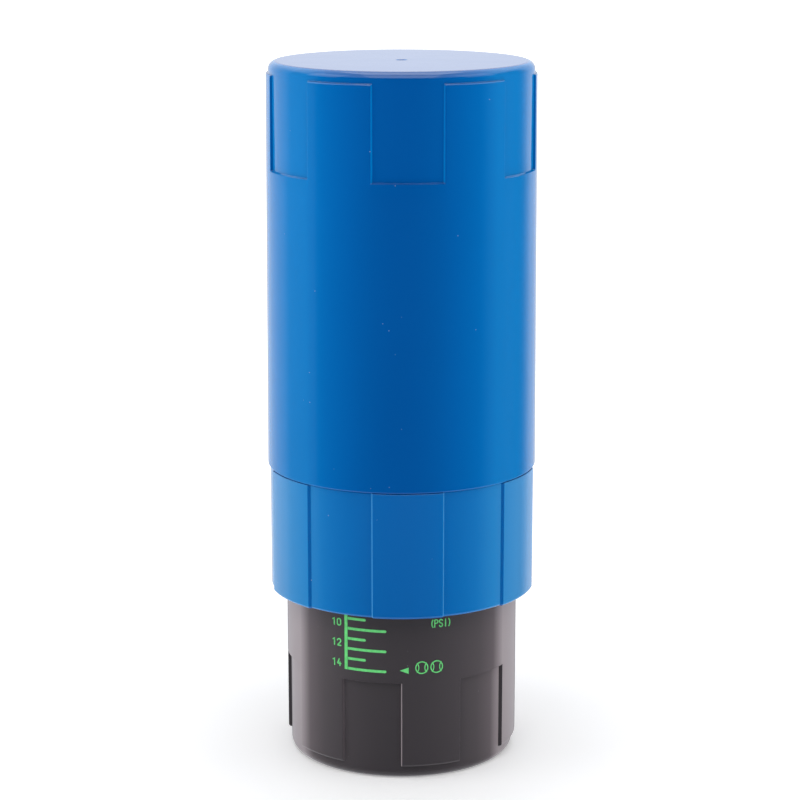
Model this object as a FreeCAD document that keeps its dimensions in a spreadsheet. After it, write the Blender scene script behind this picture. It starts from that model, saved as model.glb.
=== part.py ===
import FreeCAD, Part
import os
import Sketcher

# Ball inflation pump: an outer tube screws down over an inner tube and
# squeezes the air around the balls that stand inside.
# Frame: +Z up, origin at the centre of the foot ring, millimetres.

os.makedirs("parts", exist_ok=True)
doc = FreeCAD.newDocument("ball_inflation_pump")
V = FreeCAD.Vector
Z_AXIS = V(0, 0, 1)

# ---------------------------------------------------------------- sizes
SIZES = (
    # inner tube
    ("tube_radius", 38.1), ("tube_height", 203.0), ("tube_bore", 35.5),
    ("low_bore", 34.2), ("low_bore_top", 34.0), ("bore_step_top", 38.0),
    ("floor_top", 4.3), ("foot_inner", 31.0), ("foot_depth", 0.8),
    ("foot_round", 2.4), ("rim_chamfer", 0.8),
    ("base_turn", 15.0),
    # finger grips round the foot
    ("grip_floor", 36.95), ("grip_low", 4.3), ("grip_high", 32.6),
    ("grip_span", 30.0), ("grip_count", 6), ("grip_edge_round", 0.5),
    # seal gland with its two rings
    ("gland_radius", 40.1), ("gland_low", 113.0), ("gland_high", 128.0),
    ("ring_section", 2.65), ("ring_outer", 40.15),
    ("ring_low_z", 118.0), ("ring_high_z", 123.0),
    ("ring_groove_width", 3.0), ("ring_groove_floor", 37.45),
    # screw thread: four ridges outside the inner tube, four lugs in the bore
    ("thread_lead", 30.0), ("thread_starts", 4),
    ("ridge_low_z", 131.6), ("ridge_rise", 64.0), ("ridge_crest", 39.85),
    ("ridge_root_half", 1.6), ("ridge_crest_half", 1.0), ("ridge_sink", 0.4),
    ("lug_tip", 38.45), ("lug_tip_half", 1.75), ("lug_root_half", 2.3),
    ("lug_sink", 0.4), ("lug_rise", 3.4), ("lug_step", 2.5),
    # outer tube
    ("outer_bore", 40.2), ("outer_low_radius", 44.0), ("outer_top_radius", 43.35),
    ("outer_height", 228.4), ("lid_under", 224.9), ("outer_turn", 32.65),
    ("seam_z", 97.1), ("seam_round", 0.45),
    ("pad_top", 224.7), ("pad_floor", 42.6), ("pad_low", 194.6),
    ("pad_span", 30.0), ("pad_count", 6), ("pad_edge_round", 0.35),
    ("top_round", 2.4), ("gate_radius", 1.85), ("gate_depth", 0.25),
    # spigot that carries the collar
    ("spigot_radius", 42.0), ("spigot_low", 57.6), ("spigot_lead_in", 1.0),
    ("snap_depth", 0.4), ("snap_low", 62.0), ("snap_high", 64.2),
    ("key_depth", 0.6), ("key_low", 85.0), ("key_span", 6.0), ("key_gap_span", 0.3),
    # grip collar
    ("collar_low", 56.0), ("collar_high", 97.0), ("collar_inner", 42.05),
    ("collar_floor", 43.2), ("collar_pad", 44.0), ("collar_lip", 40.4),
    ("collar_lip_high", 57.5), ("collar_gap", 0.1), ("collar_round", 1.2),
    ("collar_pad_round", 0.6),
    # bumper ring under the lid
    ("bumper_inner", 34.5), ("bumper_outer", 39.4), ("bumper_low", 222.9),
    ("bumper_high", 224.85), ("bumper_round", 0.6),
    # printed scale
    ("ink_height", 0.1), ("scale_start", -28.9), ("spine_span", 1.65),
    ("long_span", 21.55), ("short_span", 11.4), ("line_width", 0.88),
    ("first_mark_z", 36.65), ("mark_pitch", 3.37), ("marks_each", 3), ("scale_top", 56.6),
    # how far a cutting section reaches past the wall, and added sections reach into it
    ("cut_over", 1.0), ("pad_root", 0.05), ("key_root", 0.3),
)

sheet = doc.addObject("Spreadsheet::Sheet", "Sizes")
for row, (alias, number) in enumerate(SIZES, start=1):
    sheet.set("A%d" % row, alias)
    sheet.set("B%d" % row, str(number))
    sheet.setAlias("B%d" % row, alias)
scratch = doc.addObject("Spreadsheet::Sheet", "Scratch")
doc.recompute()


def size(alias):
    """Value of one named size."""
    return float(sheet.get(alias))


def linked(expression):
    """Expression text with every named size read from the sheet."""
    words = expression.split()
    return " ".join("Sizes." + w if w in NAMES else w for w in words)


def number_of(expression):
    """Present value of an expression of named sizes, worked out on the scratch sheet."""
    scratch.set("A1", "=" + linked(expression))
    scratch.recompute()
    return float(scratch.get("A1"))


NAMES = set(alias for alias, _ in SIZES)


# ---------------------------------------------------------------- helpers
def origin_plane(body, role):
    """Origin plane of a body, found by its role."""
    return next(f for f in body.Origin.OriginFeatures if f.Role == role)


def new_body(name, turn=0.0):
    """Empty sub-part, turned about Z by a number of degrees."""
    body = doc.addObject("PartDesign::Body", name)
    body.Label = name
    body.Placement = FreeCAD.Placement(V(0, 0, 0), FreeCAD.Rotation(Z_AXIS, turn))
    return body


def new_sketch(body, name):
    """Sketch on the body's XZ plane: x is the radius, y is the height."""
    sketch = body.newObject("Sketcher::SketchObject", name)
    sketch.AttachmentSupport = [(origin_plane(body, "XZ_Plane"), "")]
    sketch.MapMode = "FlatFace"
    return sketch


def fix_point(sketch, curve, end, axis, expression):
    """Tie one coordinate of a point to an expression of named sizes."""
    if expression == "0":
        line = -2 if axis == "X" else -1
        sketch.addConstraint(Sketcher.Constraint("PointOnObject", curve, end, line))
        return
    value = number_of(expression)
    kind = "Distance" + axis
    index = sketch.addConstraint(Sketcher.Constraint(kind, -1, 1, curve, end, value))
    sketch.setExpression("Constraints[%d]" % index, linked(expression))


def polygon(body, name, points):
    """Closed half-section through points given as (radius, height) expressions."""
    sketch = new_sketch(body, name)
    values = [V(number_of(x), number_of(z), 0) for x, z in points]
    total = len(points)
    for i in range(total):
        sketch.addGeometry(Part.LineSegment(values[i], values[(i + 1) % total]))
    for i in range(total):
        sketch.addConstraint(Sketcher.Constraint("Coincident", i, 2, (i + 1) % total, 1))
    for i, (x, z) in enumerate(points):
        fix_point(sketch, i, 1, "X", x)
        fix_point(sketch, i, 1, "Y", z)
    return sketch


def box_section(body, name, inner, outer, low, high):
    """Rectangular half-section."""
    corners = ((inner, low), (outer, low), (outer, high), (inner, high))
    return polygon(body, name, corners)


def turned(body, name, sketch, kind="PartDesign::Revolution", span=None, centred=False):
    """Solid of revolution, or a turned cut, through a full turn or a span."""
    feature = body.newObject(kind, name)
    feature.Profile = sketch
    feature.ReferenceAxis = (sketch, ["V_Axis"])
    feature.Angle = 360 if span is None else size(span)
    if span is not None:
        feature.setExpression("Angle", "Sizes." + span)
    feature.Midplane = centred
    sketch.Visibility = False
    body.Tip = feature
    doc.recompute()
    return feature


def around(body, name, feature, axis_sketch, count):
    """Polar pattern of one feature, a full turn divided by a named count."""
    pattern = body.newObject("PartDesign::PolarPattern", name)
    pattern.Originals = [feature]
    pattern.Axis = (axis_sketch, ["V_Axis"])
    pattern.Angle = 360
    pattern.Occurrences = int(size(count))
    pattern.setExpression("Occurrences", "Sizes." + count)
    body.Tip = pattern
    doc.recompute()
    return pattern


def helix(body, name, sketch, rise):
    """Ridge swept up a right-hand helix."""
    feature = body.newObject("PartDesign::AdditiveHelix", name)
    feature.Profile = sketch
    feature.ReferenceAxis = (sketch, ["V_Axis"])
    feature.Mode = 0
    feature.Pitch = size("thread_lead")
    feature.Height = size(rise)
    feature.setExpression("Pitch", "Sizes.thread_lead")
    feature.setExpression("Height", "Sizes." + rise)
    sketch.Visibility = False
    body.Tip = feature
    doc.recompute()
    return feature


def edges_where(feature, test):
    """Names of the feature's edges that pass a test."""
    found = []
    for index, edge in enumerate(feature.Shape.Edges, start=1):
        if test(edge):
            found.append("Edge%d" % index)
    return found


def radius_of(point):
    """Distance of a point from the Z axis."""
    return (point.x ** 2 + point.y ** 2) ** 0.5


EDGE_SLACK = 0.02      # mm, how closely an edge has to follow a circle
RADIUS_SLACK = 0.06    # mm, how closely an upright edge has to lie on a radius
HEIGHT_SLACK = 0.1     # mm, how far an upright edge may end past its span
TALL_SHARE = 0.6       # share of the span that an upright edge has to cover
ARC_POINTS = 5


def near(a, b, slack=EDGE_SLACK):
    """Equal within a small slack."""
    return abs(a - b) < slack


def arc_at(radius, height):
    """Test for edges that follow a circle of this radius at this height."""
    def test(edge):
        points = edge.discretize(ARC_POINTS)
        on_height = all(near(p.z, height) for p in points)
        return on_height and all(near(radius_of(p), radius) for p in points)
    return test


def upright_at(radius, low, high):
    """Test for edges that run upright at this radius between two heights."""
    def test(edge):
        ends = (edge.valueAt(edge.FirstParameter), edge.valueAt(edge.LastParameter))
        mid = edge.valueAt(0.5 * (edge.FirstParameter + edge.LastParameter))
        tall = abs(ends[0].z - ends[1].z) > TALL_SHARE * (high - low)
        inside = all(low - HEIGHT_SLACK < p.z < high + HEIGHT_SLACK for p in ends)
        return tall and inside and near(radius_of(mid), radius, RADIUS_SLACK)
    return test


def rounded(body, name, feature, tests, radius):
    """Round every edge of a feature that passes one of the tests."""
    names = edges_where(feature, lambda edge: any(test(edge) for test in tests))
    if not names:
        raise RuntimeError("%s: no edge found" % name)
    fillet = body.newObject("PartDesign::Fillet", name)
    fillet.Base = (feature, names)
    fillet.Radius = size(radius)
    fillet.setExpression("Radius", "Sizes." + radius)
    body.Tip = fillet
    doc.recompute()
    return fillet


# ---------------------------------------------------------------- sub-parts
def inner_tube():
    """Black cup: foot with finger grips, seal gland and four thread ridges."""
    body = new_body("inner_tube", size("base_turn"))
    groove_half = "ring_groove_width / 2"
    outline = [
        ("0", "foot_depth"), ("foot_inner", "foot_depth"), ("foot_inner", "0"),
        ("grip_floor", "0"), ("grip_floor", "grip_low"), ("tube_radius", "grip_low"),
        ("tube_radius", "gland_low"),
        ("gland_radius", "gland_low + gland_radius - tube_radius"),
    ]
    for ring in ("ring_low_z", "ring_high_z"):
        low = ring + " - " + groove_half
        high = ring + " + " + groove_half
        outline += [("gland_radius", low), ("ring_groove_floor", low)]
        outline += [("ring_groove_floor", high), ("gland_radius", high)]
    outline += [
        ("gland_radius", "gland_high - gland_radius + tube_radius"),
        ("tube_radius", "gland_high"),
        ("tube_radius", "tube_height - rim_chamfer"),
        ("tube_radius - rim_chamfer", "tube_height"),
        ("tube_bore + rim_chamfer", "tube_height"),
        ("tube_bore", "tube_height - rim_chamfer"),
        ("tube_bore", "bore_step_top"), ("low_bore", "low_bore_top"),
        ("low_bore", "floor_top"), ("0", "floor_top"),
    ]
    section = polygon(body, "tube_section", outline)
    cup = turned(body, "tube_turned", section)
    foot = rounded(body, "foot_rounded", cup, [arc_at(size("grip_floor"), 0.0)], "foot_round")
    grip_section = box_section(body, "grip_section", "grip_floor", "tube_radius + cut_over",
                               "grip_low", "grip_high")
    grip = turned(body, "grip_cut", grip_section, "PartDesign::Groove", "grip_span", True)
    grips = around(body, "grip_cuts", grip, section, "grip_count")
    ledge = arc_at(size("tube_radius"), size("grip_low"))
    sides = upright_at(size("tube_radius"), size("grip_low"), size("grip_high"))
    rounded(body, "grip_edges", grips, [ledge, sides], "grip_edge_round")
    ridge_section = polygon(body, "ridge_section", (
        ("tube_radius - ridge_sink", "ridge_low_z"),
        ("tube_radius", "ridge_low_z"),
        ("ridge_crest", "ridge_low_z + ridge_root_half - ridge_crest_half"),
        ("ridge_crest", "ridge_low_z + ridge_root_half + ridge_crest_half"),
        ("tube_radius", "ridge_low_z + 2 * ridge_root_half"),
        ("tube_radius - ridge_sink", "ridge_low_z + 2 * ridge_root_half"),
    ))
    ridge = helix(body, "ridge", ridge_section, "ridge_rise")
    around(body, "ridges", ridge, section, "thread_starts")
    return body


def o_ring(name, height):
    """Rubber seal ring lying in its groove."""
    body = new_body(name)
    sketch = new_sketch(body, name + "_section")
    centre = V(number_of("ring_outer - ring_section / 2"), size(height), 0)
    sketch.addGeometry(Part.Circle(centre, V(0, 0, 1), size("ring_section") / 2))
    fix_point(sketch, 0, 3, "X", "ring_outer - ring_section / 2")
    fix_point(sketch, 0, 3, "Y", height)
    index = sketch.addConstraint(Sketcher.Constraint("Radius", 0, size("ring_section") / 2))
    sketch.setExpression("Constraints[%d]" % index, linked("ring_section / 2"))
    turned(body, name + "_turned", sketch)
    return body


def outer_tube():
    """Blue cup with its spigot, smooth bore, four lugs and flush pads at the top."""
    body = new_body("outer_tube", size("outer_turn"))
    section = polygon(body, "outer_section", (
        ("0", "lid_under"), ("outer_bore", "lid_under"),
        ("outer_bore", "spigot_low + 2 * spigot_lead_in"),
        ("outer_bore + spigot_lead_in", "spigot_low"),
        ("spigot_radius", "spigot_low"), ("spigot_radius", "snap_low"),
        ("spigot_radius - snap_depth", "snap_low"), ("spigot_radius - snap_depth", "snap_high"),
        ("spigot_radius", "snap_high"), ("spigot_radius", "seam_z"),
        ("outer_low_radius", "seam_z"), ("outer_top_radius", "pad_top"),
        ("pad_floor", "pad_top"), ("pad_floor", "outer_height"),
        ("gate_radius", "outer_height"), ("gate_radius", "outer_height - gate_depth"),
        ("0", "outer_height - gate_depth"),
    ))
    cup = turned(body, "outer_turned", section)
    crown_edge = arc_at(size("pad_floor"), size("outer_height"))
    crown = rounded(body, "crown_rounded", cup, [crown_edge], "top_round")
    seam_edge = arc_at(size("outer_low_radius"), size("seam_z"))
    seam = rounded(body, "seam_rounded", crown, [seam_edge], "seam_round")
    recess_section = box_section(body, "recess_section", "pad_floor", "outer_low_radius + cut_over",
                                 "pad_low", "pad_top")
    recess = turned(body, "recess_cut", recess_section, "PartDesign::Groove", "pad_span", True)
    recesses = around(body, "recess_cuts", recess, section, "pad_count")
    ledge = arc_at(size("outer_top_radius"), size("pad_top"))
    taper = "( outer_low_radius - outer_top_radius ) / ( pad_top - seam_z )"
    mid_radius = number_of("outer_top_radius + " + taper + " * ( pad_top - pad_low ) / 2")
    sides = upright_at(mid_radius, size("pad_low"), size("pad_top"))
    rounded(body, "pad_edges", recesses, [ledge, sides], "pad_edge_round")
    key_section = box_section(body, "keyway_section", "spigot_radius - key_depth", "spigot_radius + cut_over",
                              "key_low", "seam_z")
    keyway = turned(body, "keyway_cut", key_section, "PartDesign::Groove", "key_span", True)
    around(body, "keyways", keyway, section, "pad_count")
    middle = "ridge_low_z + ridge_root_half + thread_lead * ( outer_turn - base_turn ) / 360"
    middle += " + thread_lead / thread_starts * lug_step"
    lug_section = polygon(body, "lug_section", (
        ("lug_tip", middle + " - lug_tip_half"),
        ("outer_bore", middle + " - lug_root_half"),
        ("outer_bore + lug_sink", middle + " - lug_root_half"),
        ("outer_bore + lug_sink", middle + " + lug_root_half"),
        ("outer_bore", middle + " + lug_root_half"),
        ("lug_tip", middle + " + lug_tip_half"),
    ))
    lug = helix(body, "lug", lug_section, "lug_rise")
    around(body, "lugs", lug, section, "thread_starts")
    return body


def grip_collar():
    """Blue sleeve snapped and keyed onto the spigot, with six raised pads."""
    body = new_body("grip_collar", size("outer_turn"))
    bead = "collar_inner - snap_depth"
    section = polygon(body, "collar_section", (
        ("collar_lip", "collar_low"), ("collar_floor", "collar_low"),
        ("collar_floor", "collar_high"), ("collar_inner", "collar_high"),
        ("collar_inner", "snap_high - collar_gap"), (bead, "snap_high - collar_gap"),
        (bead, "snap_low + collar_gap"), ("collar_inner", "snap_low + collar_gap"),
        ("collar_inner", "collar_lip_high"), ("collar_lip", "collar_lip_high"),
    ))
    sleeve = turned(body, "collar_turned", section)
    lower_edge = arc_at(size("collar_floor"), size("collar_low"))
    rounded(body, "collar_rounded", sleeve, [lower_edge], "collar_round")
    pad_section = box_section(body, "collar_pad_section", "collar_inner + pad_root", "collar_pad",
                              "collar_low", "collar_high")
    pad = turned(body, "collar_pad_turned", pad_section, "PartDesign::Revolution", "pad_span", True)
    pads = around(body, "collar_pads", pad, section, "pad_count")
    foot = arc_at(size("collar_pad"), size("collar_low"))
    sides = upright_at(size("collar_pad"), size("collar_low"), size("collar_high"))
    rounded(body, "collar_pad_edges", pads, [foot, sides], "collar_pad_round")
    key_section = box_section(body, "key_section", "spigot_radius - key_depth + collar_gap / 2",
                              "collar_inner + key_root", "key_low + collar_gap", "collar_high")
    key = body.newObject("PartDesign::Revolution", "key_turned")
    key.Profile = key_section
    key.ReferenceAxis = (key_section, ["V_Axis"])
    key.Midplane = True
    key.setExpression("Angle", "Sizes.key_span - Sizes.key_gap_span")
    body.Tip = key
    doc.recompute()
    around(body, "keys", key, section, "pad_count")
    return body


def bumper_ring():
    """Soft ring lying loose under the lid; the rim of the inner tube stops on it."""
    body = new_body("bumper_ring")
    section = box_section(body, "bumper_section", "bumper_inner", "bumper_outer", "bumper_low", "bumper_high")
    ring = turned(body, "bumper_turned", section)
    corners = []
    for radius in ("bumper_inner", "bumper_outer"):
        for height in ("bumper_low", "bumper_high"):
            corners.append(arc_at(size(radius), size(height)))
    rounded(body, "bumper_rounded", ring, corners, "bumper_round")
    return body


def pressure_scale():
    """Printed comb scale: one upright line with long and short marks."""
    start = size("scale_start") - 90.0
    body = new_body("pressure_scale", start)
    section = box_section(body, "spine_section", "tube_radius", "tube_radius + ink_height",
                          "first_mark_z - line_width / 2", "scale_top")
    turned(body, "spine", section, "PartDesign::Revolution", "spine_span")
    steps = int(size("marks_each"))
    for index in range(2 * steps):
        name = "mark_%d" % index
        height = "first_mark_z + mark_pitch * %d" % index
        mark = box_section(body, name + "_section", "tube_radius", "tube_radius + ink_height",
                           height + " - line_width / 2", height + " + line_width / 2")
        span = "long_span" if index % 2 == 0 else "short_span"
        turned(body, name, mark, "PartDesign::Revolution", span)
    return body


# ---------------------------------------------------------------- build
bodies = [
    inner_tube(),
    o_ring("o_ring_lower", "ring_low_z"),
    o_ring("o_ring_upper", "ring_high_z"),
    pressure_scale(),
    bumper_ring(),
    outer_tube(),
    grip_collar(),
]
scratch.clearAll()
doc.recompute()

for item in doc.Objects:
    if any(word in item.State for word in ("Invalid", "Error")):
        raise RuntimeError("%s: %s" % (item.Label, item.State))

for body in bodies:
    shape = body.Shape
    if shape.isNull() or not shape.isValid() or len(shape.Solids) != 1:
        raise RuntimeError("%s: bad shape" % body.Label)
    shape.exportStep("parts/%s.step" % body.Label)
    print(body.Label, round(shape.Volume, 1), len(shape.Faces))
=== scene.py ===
import math
import bpy
import bmesh
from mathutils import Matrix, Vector


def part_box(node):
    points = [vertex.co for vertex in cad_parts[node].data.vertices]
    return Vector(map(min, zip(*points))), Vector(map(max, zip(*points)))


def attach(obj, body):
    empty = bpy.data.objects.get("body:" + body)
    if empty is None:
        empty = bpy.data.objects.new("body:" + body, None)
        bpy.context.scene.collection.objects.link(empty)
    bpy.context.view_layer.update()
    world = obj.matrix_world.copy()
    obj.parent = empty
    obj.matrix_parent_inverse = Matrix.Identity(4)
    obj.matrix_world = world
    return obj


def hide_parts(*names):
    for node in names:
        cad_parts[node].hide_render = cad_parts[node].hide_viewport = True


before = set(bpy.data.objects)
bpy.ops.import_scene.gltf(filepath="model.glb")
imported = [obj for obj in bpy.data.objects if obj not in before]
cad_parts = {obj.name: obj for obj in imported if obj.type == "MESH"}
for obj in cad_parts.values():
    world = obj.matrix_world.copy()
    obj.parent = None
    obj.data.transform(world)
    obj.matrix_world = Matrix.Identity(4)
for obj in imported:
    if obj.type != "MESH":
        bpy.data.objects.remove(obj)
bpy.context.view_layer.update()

MM = 0.001
TAU = 2.0 * math.pi
scene = bpy.context.scene

# ------------------------------------------------------------ mesh fineness, mm and degrees
CREASE = 38.0          # a sharper edge between two faces stays a crease
PRINT_CREASE = 60.0    # the same for printed film
ARC_STEP = 12.0        # turn of a rounded corner per segment
CORNER_GUARD = 0.18    # flat kept beside a rounded corner, so that its shading stops there
LONGEST = 6.0          # longest straight segment of a turned outline
COLUMN_STEP = 1.5      # turn between columns away from the grip edges
EDGE_COLUMNS = (-0.9, -0.5, -0.36, -0.22, -0.08, 0.08, 0.22, 0.36, 0.5, 0.9)    # in widths of a grip edge
EDGE_CLEAR = 1.3       # widths of a grip edge before the evenly spaced columns start
SPIRAL_STEP = 3.0      # turn of a thread per segment
SPIRAL_END = 0.12      # share of a thread's height left at its faded ends
TINY = 0.001
ON_AXIS = 1e-6         # radius below which a ring is a single point


# ------------------------------------------------------------ mesh helpers
def smoothstep(a, b, x):
    """0 below a, 1 above b, eased between."""
    k = min(1.0, max(0.0, (x - a) / (b - a)))
    return k * k * (3.0 - 2.0 * k)


def finish_mesh(name, verts, faces, material, body, crease=CREASE):
    """Mesh object from millimetre vertices, smooth with sharp creases, riding on a body."""
    bm = bmesh.new()
    made = [bm.verts.new((x * MM, y * MM, z * MM)) for x, y, z in verts]
    for face in faces:
        bm.faces.new([made[i] for i in face])
    bmesh.ops.recalc_face_normals(bm, faces=bm.faces)
    limit = math.radians(crease)
    for face in bm.faces:
        face.smooth = True
    for edge in bm.edges:
        if len(edge.link_faces) == 2 and edge.calc_face_angle() > limit:
            edge.smooth = False
    mesh = bpy.data.meshes.new(name)
    bm.to_mesh(mesh)
    bm.free()
    obj = bpy.data.objects.new(name, mesh)
    scene.collection.objects.link(obj)
    mesh.materials.append(material)
    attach(obj, body)
    return obj


def corner_path(points):
    """Path through (r, z, rounding) points with each corner replaced by an arc."""
    path = []
    total = len(points)
    for i, (r, z, rounding) in enumerate(points):
        here = Vector((r, z))
        if rounding <= 0.0 or i in (0, total - 1):
            path.append((r, z))
            continue
        before = Vector(points[i - 1][:2]) - here
        after = Vector(points[i + 1][:2]) - here
        angle = before.angle(after)
        turn = math.pi - angle
        reach = rounding * math.tan(turn / 2.0)
        start = here + before.normalized() * reach
        end = here + after.normalized() * reach
        bisector = (before.normalized() + after.normalized()).normalized()
        centre = here + bisector * (rounding / math.cos(turn / 2.0))
        steps = max(2, int(math.degrees(turn) / ARC_STEP))
        a = start - centre
        b = end - centre
        if before.length > reach + 2.0 * CORNER_GUARD:
            flat = start + before.normalized() * CORNER_GUARD
            path.append((flat.x, flat.y))
        first = math.atan2(a.y, a.x)
        swing = (math.atan2(b.y, b.x) - first + math.pi) % TAU - math.pi
        for k in range(steps + 1):
            bearing = first + swing * k / steps
            path.append((centre.x + rounding * math.cos(bearing), centre.y + rounding * math.sin(bearing)))
        if after.length > reach + 2.0 * CORNER_GUARD:
            flat = end + after.normalized() * CORNER_GUARD
            path.append((flat.x, flat.y))
    return path


def subdivide(path):
    """Path with no segment longer than the longest allowed."""
    out = [path[0]]
    for (r0, z0), (r1, z1) in zip(path, path[1:]):
        length = math.hypot(r1 - r0, z1 - z0)
        parts = max(1, int(math.ceil(length / LONGEST)))
        for k in range(1, parts + 1):
            t = k / parts
            out.append((r0 + (r1 - r0) * t, z0 + (z1 - z0) * t))
    return out


def sector_columns(centre_deg, edge_deg):
    """Angles round the axis with their grip mask, packed closely at the grip edges.

    The mask is 1 on a grip's sector and 0 between grips, eased over edge_deg.
    """
    sector = 360.0 / GRIP_COUNT
    half = GRIP_SPAN / 2.0
    clear = edge_deg * EDGE_CLEAR
    offsets = []
    for edge in (-half, half):
        offsets += [edge + edge_deg * k for k in EDGE_COLUMNS]
    for start, width in ((-half, GRIP_SPAN), (half, sector - GRIP_SPAN)):
        count = int((width - 2.0 * edge_deg) / COLUMN_STEP)
        offsets += [start + clear + (width - 2.0 * clear) * k / count for k in range(count + 1)]
    columns = []
    for grip in range(GRIP_COUNT):
        for offset in sorted(offsets):
            wrapped = offset if offset <= sector / 2.0 else offset - sector
            mask = smoothstep(-edge_deg / 2.0, edge_deg / 2.0, half - abs(wrapped))
            columns.append(((centre_deg + grip * sector + offset) % 360.0, mask))
    return sorted(columns)


def sunk(outline, floor, share):
    """Outline whose wall beyond a floor radius is moved in to it by share(z), 0 to 1."""
    return [(r + (floor - r) * share(z), z) if r > floor else (r, z) for r, z in outline]


def lathe(rings_out, rings_in, columns):
    """Closed solid of rings (r, z) blended between two profiles by each column's mask."""
    verts = []
    index = []
    for (ra, za), (rb, zb) in zip(rings_out, rings_in):
        if ra < ON_AXIS:
            verts.append((0.0, 0.0, za))
            index.append([len(verts) - 1] * len(columns))
            continue
        row = []
        for angle, mask in columns:
            r = ra + (rb - ra) * mask
            z = za + (zb - za) * mask
            a = math.radians(angle)
            row.append(len(verts))
            verts.append((r * math.sin(a), -r * math.cos(a), z))
        index.append(row)
    faces = []
    total = len(columns)
    closed = rings_out[0][0] > ON_AXIS
    pairs = list(zip(index, index[1:]))
    if closed:
        pairs.append((index[-1], index[0]))
    for low, high in pairs:
        for j in range(total):
            k = (j + 1) % total
            corners = [low[j], low[k], high[k], high[j]]
            unique = []
            for c in corners:
                if c not in unique:
                    unique.append(c)
            if len(unique) > 2:
                faces.append(unique)
    return verts, faces


def tooth(flank):
    """Closed section of a thread from one flank's (r, half width) points, root first."""
    return [(r, -half) for r, half in flank] + [(r, half) for r, half in reversed(flank)]


def spiral(section, middle, start_deg, rise, fade_deg):
    """Closed solid of a section swept up the thread's right-hand helix, fading to its root at both ends."""
    verts = []
    faces = []
    sweep = 360.0 * rise / LEAD
    steps = max(4, int(sweep / SPIRAL_STEP))
    size = len(section)
    root = section[0][0]
    for k in range(steps + 1):
        turn = sweep * k / steps
        height = smoothstep(-TINY, fade_deg, turn) * smoothstep(-TINY, fade_deg, sweep - turn)
        height = SPIRAL_END + (1.0 - SPIRAL_END) * height
        a = math.radians(start_deg + turn)
        for r, z in section:
            reach = root + (r - root) * height
            verts.append((reach * math.sin(a), -reach * math.cos(a), z + middle + LEAD * turn / 360.0))
    for k in range(steps):
        for i in range(size):
            j = (i + 1) % size
            faces.append([k * size + i, k * size + j, (k + 1) * size + j, (k + 1) * size + i])
    faces.append(list(range(size)))
    faces.append([steps * size + i for i in range(size)])
    return verts, faces


# ------------------------------------------------------------ material helpers
def new_material(name):
    """Empty node material with its shader and output."""
    material = bpy.data.materials.new(name)
    material.use_nodes = True
    nodes = material.node_tree.nodes
    nodes.clear()
    shader = nodes.new("ShaderNodeBsdfPrincipled")
    output = nodes.new("ShaderNodeOutputMaterial")
    material.node_tree.links.new(shader.outputs[0], output.inputs[0])
    coords = nodes.new("ShaderNodeTexCoord")
    return material, nodes, material.node_tree.links, shader, coords.outputs["Object"]


def noise(nodes, links, vector, scale, detail=3.0, rough=0.5, stretch=(1, 1, 1)):
    """Noise value on stretched object coordinates."""
    mapping = nodes.new("ShaderNodeMapping")
    mapping.inputs["Scale"].default_value = stretch
    links.new(vector, mapping.inputs["Vector"])
    node = nodes.new("ShaderNodeTexNoise")
    node.inputs["Scale"].default_value = scale
    node.inputs["Detail"].default_value = detail
    node.inputs["Roughness"].default_value = rough
    links.new(mapping.outputs[0], node.inputs["Vector"])
    return node.outputs["Fac"]


def ramp(nodes, links, value, stops):
    """Colour ramp with (position, rgb) stops."""
    node = nodes.new("ShaderNodeValToRGB")
    elements = node.color_ramp.elements
    while len(elements) < len(stops):
        elements.new(0.5)
    for element, (position, colour) in zip(elements, stops):
        element.position = position
        element.color = (colour[0], colour[1], colour[2], 1.0)
    links.new(value, node.inputs["Fac"])
    return node.outputs["Color"]


def scaled(nodes, links, value, low, high):
    """Value remapped from 0..1 to low..high."""
    node = nodes.new("ShaderNodeMapRange")
    node.inputs["To Min"].default_value = low
    node.inputs["To Max"].default_value = high
    links.new(value, node.inputs["Value"])
    return node.outputs[0]


def mix_colour(nodes, links, factor, a, b):
    """Colour b over colour a by a factor."""
    node = nodes.new("ShaderNodeMix")
    node.data_type = "RGBA"
    links.new(factor, node.inputs["Factor"])
    for socket, value in ((node.inputs[6], a), (node.inputs[7], b)):
        if isinstance(value, tuple):
            socket.default_value = (value[0], value[1], value[2], 1.0)
        else:
            links.new(value, socket)
    return node.outputs[2]


SPECK_RARITY = 0.965    # share of cells that hold no dot


def specks(nodes, links, vector, scale, size):
    """Sparse small dots, 1 inside a dot."""
    cells = nodes.new("ShaderNodeTexVoronoi")
    cells.inputs["Scale"].default_value = scale
    links.new(vector, cells.inputs["Vector"])
    near = nodes.new("ShaderNodeMath")
    near.operation = "LESS_THAN"
    near.inputs[1].default_value = size
    links.new(cells.outputs["Distance"], near.inputs[0])
    pick = nodes.new("ShaderNodeSeparateColor")
    links.new(cells.outputs["Color"], pick.inputs[0])
    rare = nodes.new("ShaderNodeMath")
    rare.operation = "GREATER_THAN"
    rare.inputs[1].default_value = SPECK_RARITY
    links.new(pick.outputs[0], rare.inputs[0])
    both = nodes.new("ShaderNodeMath")
    both.operation = "MULTIPLY"
    links.new(near.outputs[0], both.inputs[0])
    links.new(rare.outputs[0], both.inputs[1])
    return both.outputs[0]


def bump(nodes, links, shader, layers):
    """Chain of bump layers (value, strength, distance in m) into the shader's normal."""
    normal = None
    for value, strength, distance in layers:
        node = nodes.new("ShaderNodeBump")
        node.inputs["Strength"].default_value = strength
        node.inputs["Distance"].default_value = distance
        links.new(value, node.inputs["Height"])
        if normal is not None:
            links.new(normal, node.inputs["Normal"])
        normal = node.outputs[0]
    links.new(normal, shader.inputs["Normal"])


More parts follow.
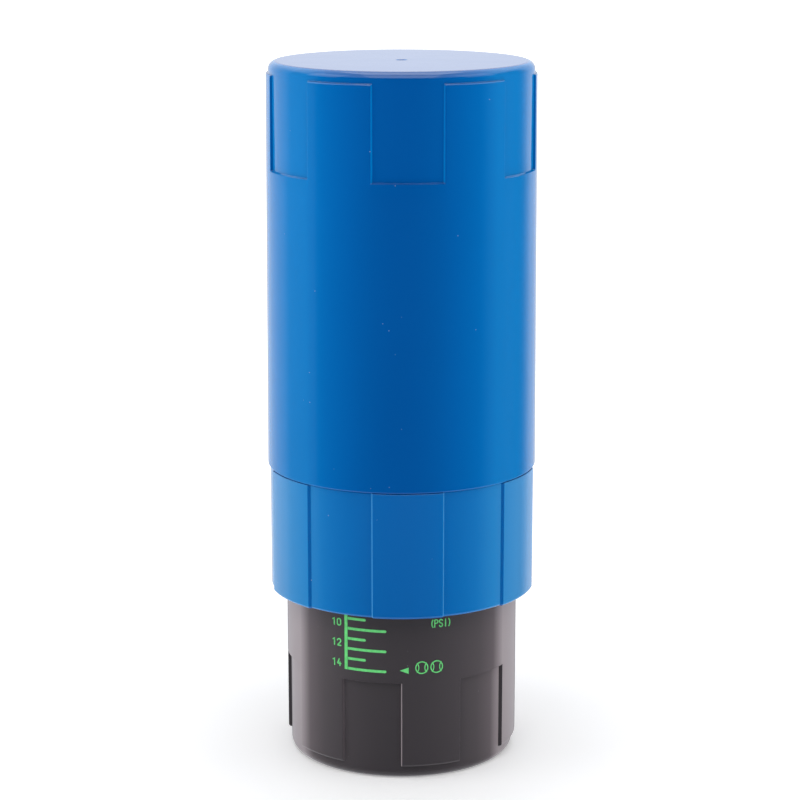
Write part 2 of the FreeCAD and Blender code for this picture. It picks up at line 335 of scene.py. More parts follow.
def level(nodes, links, vector):
    """Unit vector of the level part of a direction."""
    flat = nodes.new("ShaderNodeVectorMath")
    flat.operation = "MULTIPLY"
    flat.inputs[1].default_value = (1.0, 1.0, 0.0)
    links.new(vector, flat.inputs[0])
    unit = nodes.new("ShaderNodeVectorMath")
    unit.operation = "NORMALIZE"
    links.new(flat.outputs[0], unit.inputs[0])
    return unit.outputs[0]


FLAT_NORMAL = 0.985    # Z part of a normal from which a face counts as lying flat
WALL_NORMAL = 0.9      # Z part of a normal up to which it counts as a wall


# Mask for the painted sheen and shade in the plastics' base colour.
def turned_away(nodes, links):
    """0 where a wall faces the viewer, 1 where it is seen edge on; flat faces count as 0.

    Only turning about Z counts, and a flat face has no such direction.
    """
    geometry = nodes.new("ShaderNodeNewGeometry")
    dot = nodes.new("ShaderNodeVectorMath")
    dot.operation = "DOT_PRODUCT"
    links.new(level(nodes, links, geometry.outputs["Normal"]), dot.inputs[0])
    links.new(level(nodes, links, geometry.outputs["Incoming"]), dot.inputs[1])
    rest = nodes.new("ShaderNodeMath")
    rest.operation = "SUBTRACT"
    rest.inputs[0].default_value = 1.0
    rest.use_clamp = True
    links.new(dot.outputs["Value"], rest.inputs[1])
    split = nodes.new("ShaderNodeSeparateXYZ")
    links.new(geometry.outputs["Normal"], split.inputs[0])
    tilt = nodes.new("ShaderNodeMath")
    tilt.operation = "ABSOLUTE"
    links.new(split.outputs["Z"], tilt.inputs[0])
    steep = nodes.new("ShaderNodeMapRange")
    steep.inputs["From Min"].default_value = FLAT_NORMAL
    steep.inputs["From Max"].default_value = WALL_NORMAL
    links.new(tilt.outputs[0], steep.inputs["Value"])
    share = nodes.new("ShaderNodeMath")
    share.operation = "MULTIPLY"
    links.new(rest.outputs[0], share.inputs[0])
    links.new(steep.outputs[0], share.inputs[1])
    return share.outputs[0]


DUST_COLOUR = (0.62, 0.66, 0.72)
DUST_HEIGHT = 0.05     # mm


def plastic(name, painted_light_tones, gloss, waviness, grain, dust):
    """Moulded plastic with flow clouds, painted sheen and shade that follow how far a wall faces away, uneven
    gloss, grain and dust.

    painted_light_tones run from face on to edge on as painted sheen and shade, gloss is the lowest and
    highest roughness, and waviness and grain are the depths of the surface's waves and grain in mm.
    """
    material, nodes, links, shader, vector = new_material(name)
    clouds = noise(nodes, links, vector, scale=22.0, detail=4.0, rough=0.55, stretch=(1, 1, 0.45))
    # Painted sheen and shade: the base colour lightens as a wall turns away from the viewer and darkens again
    # when seen edge on.
    colour = ramp(nodes, links, turned_away(nodes, links), painted_light_tones)
    shade = nodes.new("ShaderNodeHueSaturation")
    links.new(scaled(nodes, links, clouds, 0.93, 1.07), shade.inputs["Value"])
    links.new(colour, shade.inputs["Color"])
    colour = shade.outputs["Color"]
    dots = specks(nodes, links, vector, scale=520.0, size=0.09)
    spot = scaled(nodes, links, dots, 0.0, dust)
    colour = mix_colour(nodes, links, spot, colour, DUST_COLOUR)
    links.new(colour, shader.inputs["Base Color"])
    uneven = noise(nodes, links, vector, scale=60.0, detail=5.0, rough=0.6, stretch=(1, 1, 0.3))
    links.new(scaled(nodes, links, uneven, *gloss), shader.inputs["Roughness"])
    waves = noise(nodes, links, vector, scale=38.0, detail=2.0, rough=0.45, stretch=(1, 1, 0.8))
    fine = noise(nodes, links, vector, scale=2600.0, detail=2.0, rough=0.5)
    bump(nodes, links, shader, (
        (waves, 0.35, waviness * MM), (fine, 0.25, grain * MM), (dots, 0.5, DUST_HEIGHT * MM)))
    return material


def rubber(name, dark, light):
    """Rubber with a dull mottled sheen and fine grain."""
    material, nodes, links, shader, vector = new_material(name)
    mottle = noise(nodes, links, vector, scale=180.0, detail=5.0, rough=0.6)
    links.new(ramp(nodes, links, mottle, ((0.3, dark), (0.7, light))), shader.inputs["Base Color"])
    links.new(scaled(nodes, links, mottle, 0.42, 0.62), shader.inputs["Roughness"])
    fine = noise(nodes, links, vector, scale=3200.0, detail=3.0, rough=0.6)
    bump(nodes, links, shader, ((mottle, 0.2, 0.1 * MM), (fine, 0.3, 0.03 * MM)))
    return material


def ink(name, dark, light):
    """Printed ink with slight unevenness in cover."""
    material, nodes, links, shader, vector = new_material(name)
    cover = noise(nodes, links, vector, scale=900.0, detail=4.0, rough=0.6)
    links.new(ramp(nodes, links, cover, ((0.3, dark), (0.65, light))), shader.inputs["Base Color"])
    links.new(scaled(nodes, links, cover, 0.4, 0.6), shader.inputs["Roughness"])
    bump(nodes, links, shader, ((cover, 0.3, 0.02 * MM),))
    return material


# Base colours from face on, 0, to edge on, 1. The face-on colour is the plastic's own; the lighter tones
# towards the sides are painted sheen of the studio's light, and the last tone, seen edge on, is dark again as
# painted shade.
BLUE_PAINTED_LIGHT_TONES = ((0.0, (0.0, 0.078, 0.31)), (0.03, (0.0, 0.088, 0.335)), (0.08, (0.0, 0.104, 0.38)),
              (0.18, (0.0, 0.132, 0.44)), (0.3, (0.0, 0.186, 0.53)), (0.5, (0.0, 0.205, 0.57)),
              (0.85, (0.0, 0.2, 0.56)), (0.97, (0.0, 0.07, 0.27)))
COLLAR_PAINTED_LIGHT_TONES = ((0.0, (0.0, 0.11, 0.385)), (0.08, (0.0, 0.135, 0.44)), (0.18, (0.004, 0.17, 0.50)),
                (0.3, (0.012, 0.23, 0.58)), (0.5, (0.05, 0.29, 0.64)),
                (0.86, (0.05, 0.29, 0.64)), (0.97, (0.0, 0.11, 0.385)))
BLACK_PAINTED_LIGHT_TONES = ((0.0, (0.045, 0.038, 0.045)), (0.17, (0.07, 0.06, 0.068)), (0.27, (0.085, 0.073, 0.081)),
               (0.41, (0.135, 0.112, 0.124)), (0.54, (0.40, 0.35, 0.37)),
               (0.86, (0.40, 0.35, 0.37)), (0.97, (0.045, 0.038, 0.045)))
BLUE = plastic("blue_gloss", BLUE_PAINTED_LIGHT_TONES, gloss=(0.03, 0.06), waviness=0.22, grain=0.003, dust=0.3)
COLLAR = plastic("blue_satin", COLLAR_PAINTED_LIGHT_TONES, gloss=(0.10, 0.14), waviness=0.22, grain=0.004, dust=0.3)
BLACK = plastic("black_plastic", BLACK_PAINTED_LIGHT_TONES, gloss=(0.38, 0.46), waviness=0.05, grain=0.012, dust=0.12)
SEAL = rubber("seal_rubber", (0.012, 0.012, 0.013), (0.022, 0.022, 0.023))
BUMPER = rubber("bumper_rubber", (0.03, 0.03, 0.034), (0.05, 0.05, 0.055))
INK = ink("green_ink", (0.11, 0.62, 0.17), (0.15, 0.78, 0.22))

# ------------------------------------------------------------ sizes, mm and degrees
def heights(node):
    """Lowest and highest point of a CAD node."""
    low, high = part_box(node)
    return round(low[2] / MM, 2), round(high[2] / MM, 2)


def outer_radius(node):
    """Outer radius of a round CAD node."""
    return round(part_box(node)[1][1] / MM, 1)


# Angles run from the front, -Y, towards +X.
BASE_TURN = 105.0      # grips and thread of the inner tube
OUTER_TURN = 122.65    # pads and lugs of the outer tube and collar
GRIP_COUNT = 6
GRIP_SPAN = 30.0       # of one recess, or of one pad
LEDGE_RISE = 0.08      # how far the ledges below the grips and above the pads slope
EDGE_ROWS = (-0.35, -0.2, -0.08, 0.0, 0.08, 0.2, 0.35)    # heights packed round the end of a grip

# inner tube
TUBE_TOP = heights("inner_tube")[1]
TUBE_R = 38.1
TUBE_BORE = 35.5
LOW_BORE = 34.2
LOW_BORE_TOP, BORE_STEP_TOP = 34.0, 38.0
FLOOR_TOP = 4.3
FOOT_INNER, FOOT_DEPTH = 31.0, 0.8
FOOT_BEVEL = 0.4
FOOT_ROUND = 2.4
RIM_ROUND = 0.8
GRIP_FLOOR = 36.95
GRIP_LOW, GRIP_HIGH = 4.3, 32.6
GRIP_EASE = 0.2        # half the height over which a grip's upper end runs out
GRIP_EDGE = 0.62       # width of a grip's side wall, degrees

# seal gland
GLAND_R = outer_radius("inner_tube")
GLAND_LOW, GLAND_HIGH = 113.0, 128.0
GROOVE_FLOOR = 37.45
GROOVE_HALF = 1.5

# thread: four ridges outside the inner tube, four lugs in the outer tube's bore
LEAD = 30.0
STARTS = 4
RIDGE_LOW = 131.6
RIDGE_FLANK = ((37.8, 1.6), (TUBE_R, 1.6), (39.7, 1.08), (39.85, 0.9))    # radius, half width
RIDGE_MIDDLE = RIDGE_LOW + RIDGE_FLANK[0][1]
RIDGE_RISE, RIDGE_FADE = 64.0, 8.0    # height climbed; turn over which an end fades, degrees
OUTER_BORE = 40.2
LUG_FLANK = ((40.5, 2.3), (OUTER_BORE, 2.3), (38.6, 1.8), (38.45, 1.6))
LUG_RISE, LUG_FADE = 3.4, 5.0
LUG_STEP = 2.5         # ridge spacings from the thread's foot to a lug

# outer tube
SPIGOT_LOW, CROWN_TOP = heights("outer_tube")
SEAM_R = outer_radius("outer_tube")
CROWN_ROUND = 2.6
LID_UNDER = 224.9
GATE_FLOOR_R, GATE_R, GATE_DEPTH = 1.6, 1.9, 0.25
PAD_FLOOR = 42.6
PAD_LOW, PAD_TOP = 194.6, 224.7
PAD_FOOT_R, PAD_TOP_R = 43.5, 43.35    # radius of the tapered wall at the pads' foot and top
PAD_TOP_ROUND = 0.7
PAD_NECK = 1.3         # height of the pads' upright top edge
PAD_EASE = 0.26        # the same as GRIP_EASE, for a pad
PAD_EDGE = 0.85        # the same as GRIP_EDGE, for a pad
SPIGOT_R = 42.0
LEAD_IN_WIDTH, LEAD_IN_HEIGHT = 1.0, 2.0

# grip collar
COLLAR_LOW, COLLAR_HIGH = heights("grip_collar")
COLLAR_R = outer_radius("grip_collar")
COLLAR_FLOOR = 43.2
COLLAR_INNER = 42.05
COLLAR_LIP, COLLAR_LIP_HIGH = 40.4, 57.5
COLLAR_ROUND = 1.0
COLLAR_EDGE = 0.8
BEAD_R = 41.65
BEAD_LOW, BEAD_HIGH = 62.1, 64.1
SEAM_GAP = 0.1         # between the collar's top and the outer tube


# ------------------------------------------------------------ bodies
def ridges(name, flank, middle, turn, rise, fade, material, body):
    """The four starts of a thread, each its own piece."""
    for start in range(STARTS):
        verts, faces = spiral(tooth(flank), middle, turn + 360.0 / STARTS * start, rise, fade)
        ridge = finish_mesh("%s_%d" % (name, start), verts, faces, material, body)


def ring_groove(node):
    """Outline of the gland groove at the height of an O-ring."""
    low, high = heights(node)
    ring = (low + high) / 2.0
    return [
        (GLAND_R, ring - GROOVE_HALF, 0.15), (GROOVE_FLOOR, ring - GROOVE_HALF, 0.3),
        (GROOVE_FLOOR, ring + GROOVE_HALF, 0.3), (GLAND_R, ring + GROOVE_HALF, 0.15),
    ]


def inner_tube():
    """Black tube with grips round its foot, seal gland, thread and bore."""
    gland_slope = GLAND_R - TUBE_R
    outline = [
        (0.0, FOOT_DEPTH, 0), (FOOT_INNER, FOOT_DEPTH, 0.3), (FOOT_INNER + FOOT_BEVEL, 0.0, 0.3),
        (GRIP_FLOOR, 0.0, FOOT_ROUND), (GRIP_FLOOR, GRIP_LOW, 0.25), (TUBE_R, GRIP_LOW + LEDGE_RISE, 0.8),
    ]
    outline += [(TUBE_R, GRIP_HIGH + row, 0) for row in EDGE_ROWS]
    outline += [(TUBE_R, GLAND_LOW, 0.4), (GLAND_R, GLAND_LOW + gland_slope, 0.4)]
    outline += ring_groove("o_ring_lower") + ring_groove("o_ring_upper")
    outline += [
        (GLAND_R, GLAND_HIGH - gland_slope, 0.4), (TUBE_R, GLAND_HIGH, 0.4),
        (TUBE_R, TUBE_TOP, RIM_ROUND), (TUBE_BORE, TUBE_TOP, RIM_ROUND),
        (TUBE_BORE, BORE_STEP_TOP, 1.0), (LOW_BORE, LOW_BORE_TOP, 1.0),
        (LOW_BORE, FLOOR_TOP, 2.0), (0.0, FLOOR_TOP, 0),
    ]
    pads = subdivide(corner_path(outline))
    low, high = GRIP_HIGH - GRIP_EASE, GRIP_HIGH + GRIP_EASE
    grips = sunk(pads, GRIP_FLOOR, lambda z: 1.0 - smoothstep(low, high, z))
    verts, faces = lathe(pads, grips, sector_columns(BASE_TURN, GRIP_EDGE))
    tube = finish_mesh("inner_tube_body", verts, faces, BLACK, "base")
    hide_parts("inner_tube")
    ridges("thread_ridge", RIDGE_FLANK, RIDGE_MIDDLE, BASE_TURN, RIDGE_RISE, RIDGE_FADE,
           BLACK, "base")


def outer_tube():
    """Blue cup: rounded crown, flush pads at the top, spigot, bore and lugs."""
    gate_floor = CROWN_TOP - GATE_DEPTH
    outline = [
        (0.0, gate_floor, 0), (GATE_FLOOR_R, gate_floor, 0.2), (GATE_R, CROWN_TOP, 0.15),
        (PAD_FLOOR, CROWN_TOP, CROWN_ROUND), (PAD_FLOOR, PAD_TOP + LEDGE_RISE, 0.2),
        (PAD_TOP_R, PAD_TOP, PAD_TOP_ROUND), (PAD_TOP_R, PAD_TOP - PAD_NECK, 0),
    ]
    outline += [(PAD_FOOT_R, PAD_LOW - row, 0) for row in EDGE_ROWS]
    outline += [
        (SEAM_R, COLLAR_HIGH + SEAM_GAP, 0.6), (SPIGOT_R, COLLAR_HIGH + SEAM_GAP / 2.0, 0.3),
        (SPIGOT_R, SPIGOT_LOW, 0.3), (OUTER_BORE + LEAD_IN_WIDTH, SPIGOT_LOW, 0.2),
        (OUTER_BORE, SPIGOT_LOW + LEAD_IN_HEIGHT, 0.3), (OUTER_BORE, LID_UNDER, 0.6), (0.0, LID_UNDER, 0),
    ]
    pads = subdivide(corner_path(outline))
    low, high = PAD_LOW - PAD_EASE, PAD_LOW + PAD_EASE
    gaps = sunk(pads, PAD_FLOOR, lambda z: smoothstep(low, high, z))
    verts, faces = lathe(pads, gaps, sector_columns(OUTER_TURN, PAD_EDGE))
    tube = finish_mesh("outer_tube_body", verts, faces, BLUE, "outer")
    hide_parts("outer_tube")
    screwed = LEAD * (OUTER_TURN - BASE_TURN) / 360.0
    middle = RIDGE_MIDDLE + screwed + LEAD / STARTS * LUG_STEP
    ridges("thread_lug", LUG_FLANK, middle, OUTER_TURN, LUG_RISE, LUG_FADE, BLUE, "outer")


def collar_rings(radius):
    """Closed outline of the collar's wall with a given outer radius."""
    points = [
        (COLLAR_LIP, COLLAR_LIP_HIGH, 0.2), (COLLAR_LIP, COLLAR_LOW, 0.3), (radius, COLLAR_LOW, COLLAR_ROUND),
        (radius, COLLAR_HIGH, 0.25), (COLLAR_INNER, COLLAR_HIGH, 0.15), (COLLAR_INNER, BEAD_HIGH, 0.1),
        (BEAD_R, BEAD_HIGH, 0.1), (BEAD_R, BEAD_LOW, 0.1), (COLLAR_INNER, BEAD_LOW, 0.1),
        (COLLAR_INNER, COLLAR_LIP_HIGH, 0.2),
    ]
    whole = corner_path([points[-1]] + points + [points[0]])
    return subdivide(whole[1:-1])


def grip_collar():
    """Blue sleeve below the seam with six flush pads."""
    columns = sector_columns(OUTER_TURN, COLLAR_EDGE)
    verts, faces = lathe(collar_rings(COLLAR_FLOOR), collar_rings(COLLAR_R), columns)
    collar = finish_mesh("grip_collar_body", verts, faces, COLLAR, "outer")
    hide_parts("grip_collar")


# ------------------------------------------------------------ printed scale
INK_LOW = TUBE_R - 0.03
INK_HIGH = TUBE_R + 0.07
CAP_STEPS = (0.28, 0.55, 0.8, 0.97)    # places along a stroke's round end, in half widths


STROKE_STEP = 0.6      # length of a segment along a straight stroke
NARROW = 0.6           # width of a narrow figure, in widths of a wide one


def cap(point, outward, side, half):
    """Rims of a stroke's round end, from the stroke outwards."""
    rims = []
    for k in CAP_STEPS:
        middle = point + outward * half * k
        reach = side * half * math.sqrt(1.0 - k * k)
        rims.append((middle + reach, middle - reach))
    return rims


def direction(start, end):
    """Unit vector from one (u, z) point to another, and its left-hand side."""
    along = Vector((end[0] - start[0], end[1] - start[1])).normalized()
    return along, Vector((-along.y, along.x))


def ribbon(points, width, caps=(True, True), closed=False):
    """Flat outline of a pen stroke along (u, z) points, as left and right rims."""
    rims = []
    total = len(points)
    half = width / 2.0
    for i, point in enumerate(points):
        if closed:
            side = direction(points[i - 1], points[(i + 1) % total])[1]
        else:
            side = direction(points[max(0, i - 1)], points[min(total - 1, i + 1)])[1]
        here = Vector(point)
        rims.append((here + side * half, here - side * half))
    if closed:
        return rims
    if caps[0]:
        along, side = direction(points[0], points[1])
        rims = cap(Vector(points[0]), -along, side, half)[::-1] + rims
    if caps[1]:
        along, side = direction(points[-2], points[-1])
        rims = rims + cap(Vector(points[-1]), along, side, half)
    return rims


def wrapped(u, z, radius):
    """Point on the tube: u runs round it in mm at the tube's radius."""
    a = u / TUBE_R
    return (radius * math.sin(a), -radius * math.cos(a), z)


def ink_mark(name, strokes):
    """One printed mark made of strokes given as rims, each a thin raised film."""
    verts = []
    faces = []
    for rims, closed in strokes:
        base = len(verts)
        for left, right in rims:
            for point, radius in ((left, INK_LOW), (left, INK_HIGH), (right, INK_HIGH), (right, INK_LOW)):
                verts.append(wrapped(point.x, point.y, radius))
        total = len(rims)
        for i in range(total if closed else total - 1):
            here = base + 4 * i
            there = base + 4 * ((i + 1) % total)
            for j in range(4):
                k = (j + 1) % 4
                faces.append([here + j, here + k, there + k, there + j])
        if not closed:
            last = base + 4 * (total - 1)
            faces.append([base, base + 1, base + 2, base + 3])
            faces.append([last, last + 1, last + 2, last + 3])
    mark = finish_mesh(name, verts, faces, INK, "base", PRINT_CREASE)
    return mark


def arc(cx, cz, rx, rz, start, end, steps=14):
    """Points along an elliptical arc, angles in degrees, counter-clockwise."""
    out = []
    for k in range(steps + 1):
        a = math.radians(start + (end - start) * k / steps)
        out.append((cx + rx * math.cos(a), cz + rz * math.sin(a)))
    return out


def line(u0, z0, u1, z1):
    """Points along a straight stroke."""
    parts = max(1, int(math.hypot(u1 - u0, z1 - z0) / STROKE_STEP))
    return [(u0 + (u1 - u0) * k / parts, z0 + (z1 - z0) * k / parts) for k in range(parts + 1)]


def glyph(letter, w, h):
    """Strokes of one narrow figure in a w by h box, as (points, closed)."""
    r = w / 2.0
    bowl, waist = h * 0.24, h * 0.76
    if letter == "0":
        return [(arc(r, h - r, r, r, 0, 180) + arc(r, r, r, r, 180, 360), True)]
    if letter == "1":
        return [([(0.15 * w, 0.8 * h)] + line(0.62 * w, h, 0.62 * w, 0.0), False)]
    if letter == "2":
        return [(arc(r, h - r, r, r, 170, -35) + [(0.0, 0.0)] + line(0.1, 0.0, w, 0.0), False)]
    if letter == "4":
        slant = [(0.5 * w, h), (0.0, 0.3 * h), (0.05 * w, 0.3 * h)]
        bar = line(0.2 * w, 0.3 * h, w, 0.3 * h)
        stem = line(0.72 * w, 0.52 * h, 0.72 * w, 0.0)
        return [(slant + bar, False), (stem, False)]
    if letter == "(":
        return [(arc(w, h / 2, w * 0.8, h * 0.62, 125, 235), False)]
    if letter == ")":
        return [(arc(0, h / 2, w * 0.8, h * 0.62, -55, 55), False)]
    if letter == "P":
        stem = line(0, 0, 0, h) + [(0.05, h)]
        loop = arc(w * 0.45, waist, w * 0.55, bowl, 90, -90) + [(0.15, h * 0.52)]
        return [(stem + loop, False)]
    if letter == "S":
        upper = arc(r, waist, r, bowl, 20, 230, 10)
        lower = arc(r, h * 0.25, r, h * 0.25, 50, -160, 10)
        return [(upper + lower, False)]
    return [(line(w / 2, 0, w / 2, h), False)]


def words(name, text, u, z, w, h, gap, pen):
    """Row of w by h figures starting at u, standing on z."""
    strokes = []
    for letter in text:
        for points, closed in glyph(letter, w, h):
            moved = [(u + a, z + b) for a, b in points]
            strokes.append((ribbon(moved, pen, closed=closed), closed))
        u += (NARROW * w if letter in "()I" else w) + gap
    ink_mark(name, strokes)


def round_tube(angle):
    """Arc length round the tube to an angle from the front."""
    return math.radians(angle) * TUBE_R


# The scale's sizes in mm; angles in degrees from the front.
SCALE_LOW, SCALE_TOP = heights("pressure_scale")
PEN = 0.88
SPINE_WIDTH = 1.1
SPINE_TURN, MARK_START_TURN = -27.9, -26.9
LONG_MARK_TURN, SHORT_MARK_TURN = -7.35, -17.5
MARK_COUNT = 6
MARK_PITCH = 3.37
FIGURE_TURN = -35.7
FIGURE_LOW, FIGURE_PITCH = 37.05, 6.8
UNIT_TURN, UNIT_LOW = 14.4, 51.3
ARROW_TIP_TURN, ARROW_BACK_TURN = -0.8, 3.4
ARROW_MIDDLE, ARROW_HALF = 37.15, 1.05
ARROW_STEPS = 8
ARROW_POINT = 0.02     # share of the arrow's width left at its tip
BALL_TURNS = (9.8, 17.2)
BALL_MIDDLE, BALL_R = 38.0, 1.95
BALL_PEN, SEAM_PEN = 0.36, 0.3


def scale_comb():
    """Upright line with long and short marks by turns."""
    spine = line(round_tube(SPINE_TURN), SCALE_LOW, round_tube(SPINE_TURN), SCALE_TOP)
    piece = ink_mark("scale_spine", [(ribbon(spine, SPINE_WIDTH, (False, False)), False)])
    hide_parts("pressure_scale")
    start = round_tube(MARK_START_TURN)
    for index in range(MARK_COUNT):
        z = SCALE_LOW + PEN / 2.0 + MARK_PITCH * index
        end = round_tube(SHORT_MARK_TURN if index % 2 else LONG_MARK_TURN) - PEN / 2.0
        ink_mark("scale_mark_%d" % index, [(ribbon(line(start, z, end, z), PEN, (False, True)), False)])


def stop_arrow():
    """Solid triangle pointing at the scale."""
    tip, back = round_tube(ARROW_TIP_TURN), round_tube(ARROW_BACK_TURN)
    rims = []
    for k in range(ARROW_STEPS + 1):
        half = ARROW_HALF * (ARROW_POINT + (1.0 - ARROW_POINT) * k / ARROW_STEPS)
        u = tip + (back - tip) * k / ARROW_STEPS
        rims.append((Vector((u, ARROW_MIDDLE + half)), Vector((u, ARROW_MIDDLE - half))))
    ink_mark("scale_arrow", [(rims, False)])


def ball_sign(name, turn):
    """Plain circle with two curved seams."""
    u, z, r = round_tube(turn), BALL_MIDDLE, BALL_R
    strokes = [(ribbon(arc(u, z, r, r, 0, 351, 39), BALL_PEN, closed=True), True)]
    for side, middle in ((-1.0, 0.0), (1.0, 180.0)):
        seam = arc(u + side * 1.75 * r, z, 1.25 * r, 1.25 * r, middle - 38.0, middle + 38.0)
        strokes.append((ribbon(seam, SEAM_PEN), False))
    ink_mark(name, strokes)


def pressure_scale():
    """Comb scale, its figures, the unit, the stop arrow and two plain ball signs."""
    scale_comb()
    for index, number in enumerate(("14", "12", "10")):
        z = FIGURE_LOW + FIGURE_PITCH * index
        words("scale_figure_" + number, number, round_tube(FIGURE_TURN), z, 1.25, 2.2, 0.7, 0.42)
    words("scale_unit", "(PSI)", round_tube(UNIT_TURN), UNIT_LOW, 1.05, 2.4, 0.52, 0.36)
    stop_arrow()
    for index, turn in enumerate(BALL_TURNS):
        ball_sign("ball_sign_%d" % index, turn)


inner_tube()
outer_tube()
grip_collar()
pressure_scale()

for node, material in (("o_ring_lower", SEAL), ("o_ring_upper", SEAL), ("bumper_ring", BUMPER)):
    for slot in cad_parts[node].material_slots:
        slot.link = "OBJECT"
        slot.material = material


# ------------------------------------------------------------ stage, light, camera
FLOOR_HALF = 6.0       # metres
FLOOR_DROP = 0.1 * MM
POOL_RADIUS, SWEEP_RADIUS = 0.06, 0.45    # metres over which the floor brightens into the sweep
POOL_GLOW, SWEEP_GLOW = 0.3, 1.0


def stage_floor():
    """Wide pale floor with a painted glow that brightens it into the white sweep away from the object, clear
    from below.
    """
    material, nodes, links, shader, vector = new_material("pale_floor")
    cloud = noise(nodes, links, vector, scale=3.0, detail=3.0, rough=0.5)
    links.new(ramp(nodes, links, cloud, ((0.2, (0.90, 0.90, 0.905)), (0.8, (0.93, 0.93, 0.935)))),
              shader.inputs["Base Color"])
    shader.inputs["Roughness"].default_value = 0.7
    distance = nodes.new("ShaderNodeVectorMath")
    distance.operation = "LENGTH"
    links.new(vector, distance.inputs[0])
    fade = nodes.new("ShaderNodeMapRange")
    fade.inputs["From Min"].default_value = POOL_RADIUS
    fade.inputs["From Max"].default_value = SWEEP_RADIUS
    fade.inputs["To Min"].default_value = POOL_GLOW
    fade.inputs["To Max"].default_value = SWEEP_GLOW
    links.new(distance.outputs["Value"], fade.inputs["Value"])
    # Painted glow: the floor gives off light of its own, weaker near the object, where its rendered contact
    # shadow shows, and full away from it.
    shader.inputs["Emission Color"].default_value = (1.0, 1.0, 1.0, 1.0)
    links.new(fade.outputs[0], shader.inputs["Emission Strength"])
    output = next(node for node in nodes if node.type == "OUTPUT_MATERIAL")
    geometry = nodes.new("ShaderNodeNewGeometry")
    clear = nodes.new("ShaderNodeBsdfTransparent")
    one_sided = nodes.new("ShaderNodeMixShader")
    links.new(geometry.outputs["Backfacing"], one_sided.inputs[0])
    links.new(shader.outputs[0], one_sided.inputs[1])
    links.new(clear.outputs[0], one_sided.inputs[2])
    links.new(one_sided.outputs[0], output.inputs["Surface"])
    corners = [(x * FLOOR_HALF, y * FLOOR_HALF, -FLOOR_DROP) for x, y in ((-1, -1), (1, -1), (1, 1), (-1, 1))]
    mesh = bpy.data.meshes.new("floor")
    mesh.from_pydata(corners, [], [(0, 1, 2, 3)])
    mesh.materials.append(material)
    floor = bpy.data.objects.new("floor", mesh)
    scene.collection.objects.link(floor)
    floor.visible_glossy = False


# Colour of the studio's reflection: degrees from the camera's side (positive to the right), then colour.
SURROUND = (
    (-180, (0.96, 1.0, 1.06)), (-150, (0.92, 0.95, 1.0)), (-137, (0.80, 0.82, 0.86)),
    (-119, (0.56, 0.57, 0.60)), (-110, (0.25, 0.25, 0.26)), (-92, (0.23, 0.23, 0.24)),
    (-79, (0.19, 0.19, 0.20)), (-75, (0.04, 0.04, 0.045)), (-55, (0.015, 0.02, 0.02)),
    (-37, (0.01, 0.012, 0.012)), (0, (0.008, 0.008, 0.008)), (57, (0.01, 0.01, 0.012)),
    (71, (0.02, 0.02, 0.02)), (80, (0.12, 0.12, 0.13)), (102, (0.15, 0.15, 0.16)),
    (118, (0.08, 0.08, 0.09)), (125, (0.16, 0.16, 0.17)), (132, (0.45, 0.47, 0.5)),
    (140, (0.82, 0.85, 0.9)), (180, (0.96, 1.0, 1.06)),
)
SURROUND_PEAK = 1.1
FILL_LIGHT = 0.3
BACKDROP_LIGHT = 1.15
OVERHEAD = (1.5, 1.52, 1.56)
# Share of the overhead colour in the reflection, from straight down, 0, to straight up, 1.
HEIGHT_SHARE = ((0.0, 0.45), (0.16, 0.45), (0.27, 0.0), (0.7, 0.0), (0.8, 0.75), (1.0, 0.75))


def split_height(nodes, links, split):
    """Height of a direction mapped from -1..1 to 0..1."""
    node = nodes.new("ShaderNodeMapRange")
    node.inputs["From Min"].default_value = -1.0
    node.inputs["From Max"].default_value = 1.0
    links.new(split.outputs["Z"], node.inputs["Value"])
    return node.outputs[0]


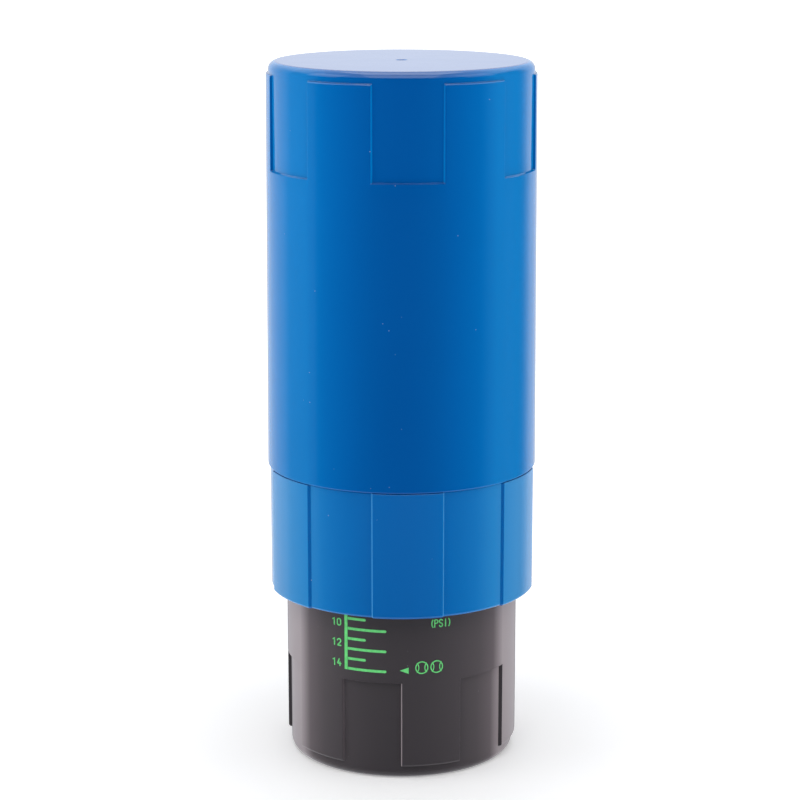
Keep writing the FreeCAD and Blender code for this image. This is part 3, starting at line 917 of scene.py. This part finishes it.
def studio_world():
    """White backdrop for the camera, an even fill for diffuse light, and soft panels in reflections."""
    world = bpy.data.worlds.new("studio")
    scene.world = world
    world.use_nodes = True
    nodes = world.node_tree.nodes
    links = world.node_tree.links
    nodes.clear()
    coords = nodes.new("ShaderNodeTexCoord")
    split = nodes.new("ShaderNodeSeparateXYZ")
    links.new(coords.outputs["Generated"], split.inputs[0])
    front = nodes.new("ShaderNodeMath")
    front.operation = "MULTIPLY"
    front.inputs[1].default_value = -1.0
    links.new(split.outputs["Y"], front.inputs[0])
    angle = nodes.new("ShaderNodeMath")
    angle.operation = "ARCTAN2"
    links.new(split.outputs["X"], angle.inputs[0])
    links.new(front.outputs[0], angle.inputs[1])
    span = nodes.new("ShaderNodeMapRange")
    span.inputs["From Min"].default_value = -math.pi
    span.inputs["From Max"].default_value = math.pi
    links.new(angle.outputs[0], span.inputs["Value"])
    stops = []
    for degrees, colour in SURROUND:
        stops.append(((degrees + 180.0) / 360.0, [c / SURROUND_PEAK for c in colour]))
    tone = ramp(nodes, links, span.outputs[0], stops)
    shares = [(position, (share, share, share)) for position, share in HEIGHT_SHARE]
    height = ramp(nodes, links, split_height(nodes, links, split), shares)
    tone = mix_colour(nodes, links, height, tone, OVERHEAD)
    room = nodes.new("ShaderNodeBackground")
    room.inputs["Strength"].default_value = SURROUND_PEAK
    links.new(tone, room.inputs["Color"])
    white = nodes.new("ShaderNodeBackground")
    white.inputs["Color"].default_value = (1, 1, 1, 1)
    white.inputs["Strength"].default_value = BACKDROP_LIGHT
    fill = nodes.new("ShaderNodeBackground")
    fill.inputs["Color"].default_value = (1, 1, 1, 1)
    fill.inputs["Strength"].default_value = FILL_LIGHT
    path = nodes.new("ShaderNodeLightPath")
    soft = nodes.new("ShaderNodeMixShader")
    links.new(path.outputs["Is Diffuse Ray"], soft.inputs[0])
    links.new(room.outputs[0], soft.inputs[1])
    links.new(fill.outputs[0], soft.inputs[2])
    both = nodes.new("ShaderNodeMixShader")
    output = nodes.new("ShaderNodeOutputWorld")
    links.new(path.outputs["Is Camera Ray"], both.inputs[0])
    links.new(soft.outputs[0], both.inputs[1])
    links.new(white.outputs[0], both.inputs[2])
    links.new(both.outputs[0], output.inputs[0])


# Name, place, aim, width and height in metres, then power in watts.
SOFTBOXES = (
    ("softbox_key", (0.0, -1.1, 1.5), (0.0, 0.0, 0.1), 1.6, 0.9, 6.2),
    ("softbox_top", (0.0, 0.1, 1.5), (0.0, 0.0, 0.2), 1.0, 1.0, 7.0),
    ("softbox_left", (-1.2, -0.35, 1.0), (0.0, 0.0, 0.12), 0.8, 0.8, 2.5),
    ("softbox_right", (1.2, -0.35, 1.0), (0.0, 0.0, 0.12), 0.8, 0.8, 1.5),
)
CAMERA_PLACE = (0.0, -0.794, 0.2983)    # metres
CAMERA_DIP = 0.224     # radians that it looks down
FOCAL_LENGTH, SENSOR_WIDTH = 111.7, 36.0
SIDE_SHIFT = -0.002
NEAR_LIMIT = 0.01


def softbox(name, place, aim, width, height, power):
    """Rectangular studio light aimed at a point."""
    light = bpy.data.lights.new(name, "AREA")
    light.shape = "RECTANGLE"
    light.size = width
    light.size_y = height
    light.energy = power
    obj = bpy.data.objects.new(name, light)
    scene.collection.objects.link(obj)
    obj.location = place
    obj.rotation_euler = (Vector(aim) - Vector(place)).to_track_quat("-Z", "Y").to_euler()


def studio_camera():
    """Camera in front of the object, looking slightly down."""
    data = bpy.data.cameras.new("camera")
    data.sensor_width = SENSOR_WIDTH
    data.lens = FOCAL_LENGTH
    data.shift_x = SIDE_SHIFT
    data.clip_start = NEAR_LIMIT
    camera = bpy.data.objects.new("camera", data)
    scene.collection.objects.link(camera)
    camera.location = CAMERA_PLACE
    camera.rotation_euler = (math.pi / 2.0 - CAMERA_DIP, 0.0, 0.0)
    scene.camera = camera


stage_floor()
studio_world()
for box in SOFTBOXES:
    softbox(*box)
studio_camera()
scene.view_settings.view_transform = "Standard"
